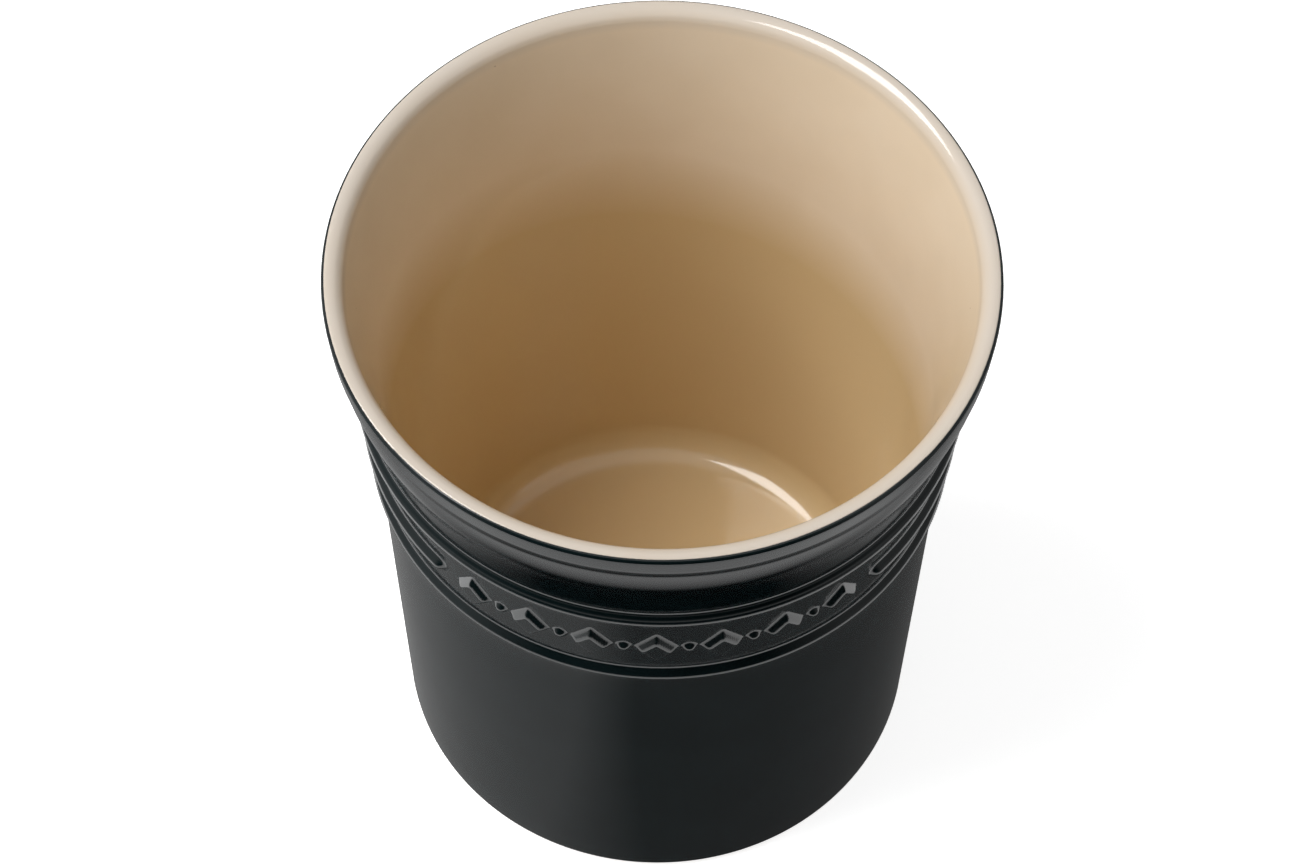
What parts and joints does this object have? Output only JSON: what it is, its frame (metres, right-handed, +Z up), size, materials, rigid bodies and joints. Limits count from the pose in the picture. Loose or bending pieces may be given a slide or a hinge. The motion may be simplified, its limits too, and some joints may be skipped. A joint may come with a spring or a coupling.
{
  "type": "utensil crock",
  "caption": "Open round stoneware crock with a flared mouth, raised rings and a relief panel, glazed black outside and cream inside, for holding kitchen utensils.",
  "frame": {"origin": "on the crock's axis at the height of the surface that it stands on", "axes": "+Z up along the axis towards the mouth; the relief panel faces -Y"},
  "size_m": [0.158, 0.158, 0.178],
  "materials": {
    "bare_stoneware": "unglazed, fine-grained and matt",
    "black_glaze": "glossy",
    "cream_glaze": "glossy",
    "base_glaze": "glossy"
  },
  "bodies": {
    "root": {"stoneware_body": "bare_stoneware", "outer_glaze": "black_glaze", "inner_glaze": "cream_glaze", "underside_glaze": "base_glaze"}
  },
  "joints": []
}
